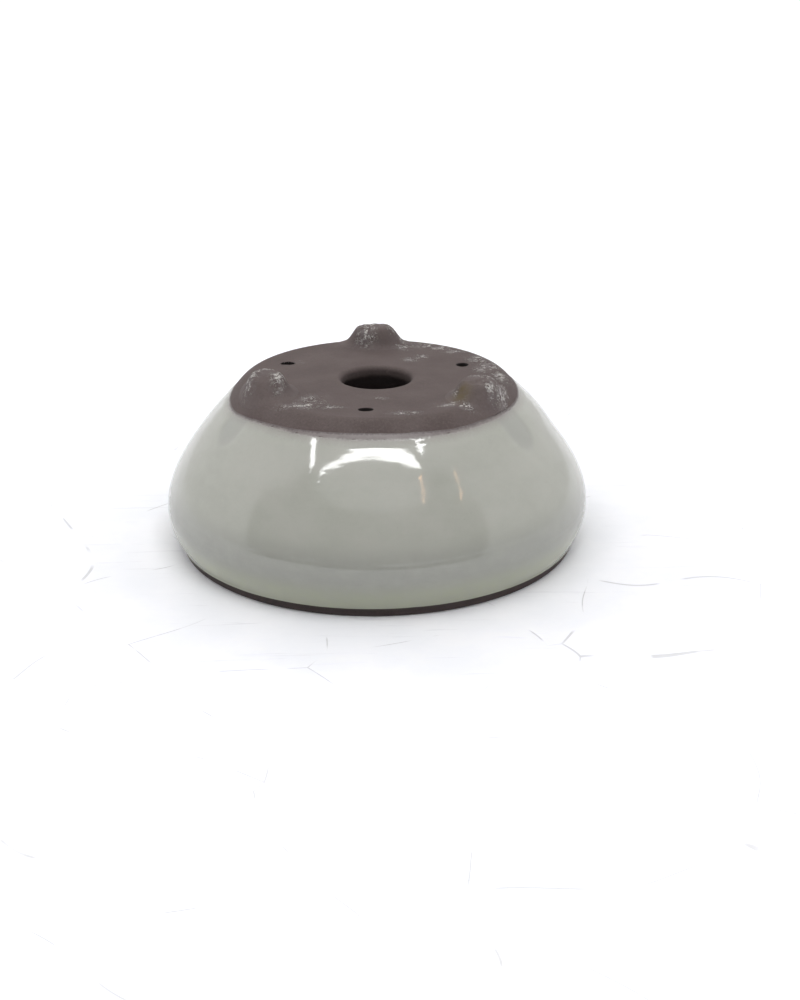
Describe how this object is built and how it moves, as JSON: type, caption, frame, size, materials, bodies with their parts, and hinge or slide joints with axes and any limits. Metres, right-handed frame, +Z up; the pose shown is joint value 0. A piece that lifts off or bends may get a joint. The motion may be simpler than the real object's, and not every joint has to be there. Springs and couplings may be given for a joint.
{
  "type": "bonsai pot",
  "caption": "Round flared stoneware bonsai pot with a celadon glazed wall, bare clay base, drain hole, wire holes and nub feet, stored mouth down on its rim.",
  "frame": {"origin": "centre of the mouth's rim plane, which the pot stands on as it is stored; the rim plane is Z = 0", "axes": "+Z up, along the pot's axis from the mouth's rim to the base and its feet; -Y is the front, the side away from the back foot; +X is the right seen from the front. The pot is stored mouth down. A planted pot is this one turned 180 degrees about X, so that it stands on its feet"},
  "size_m": [0.17, 0.17, 0.0754],
  "materials": {
    "bare_clay": "unglazed purple-brown stoneware, matt",
    "foot_clay": "unglazed purple-brown stoneware, matt, worn pale at the tips",
    "celadon_glaze": "glossy pale grey-green celadon glaze"
  },
  "bodies": {
    "root": {"bowl": "bare_clay", "glaze": "celadon_glaze", "foot_back": "foot_clay", "foot_left": "foot_clay", "foot_right": "foot_clay"}
  },
  "joints": []
}
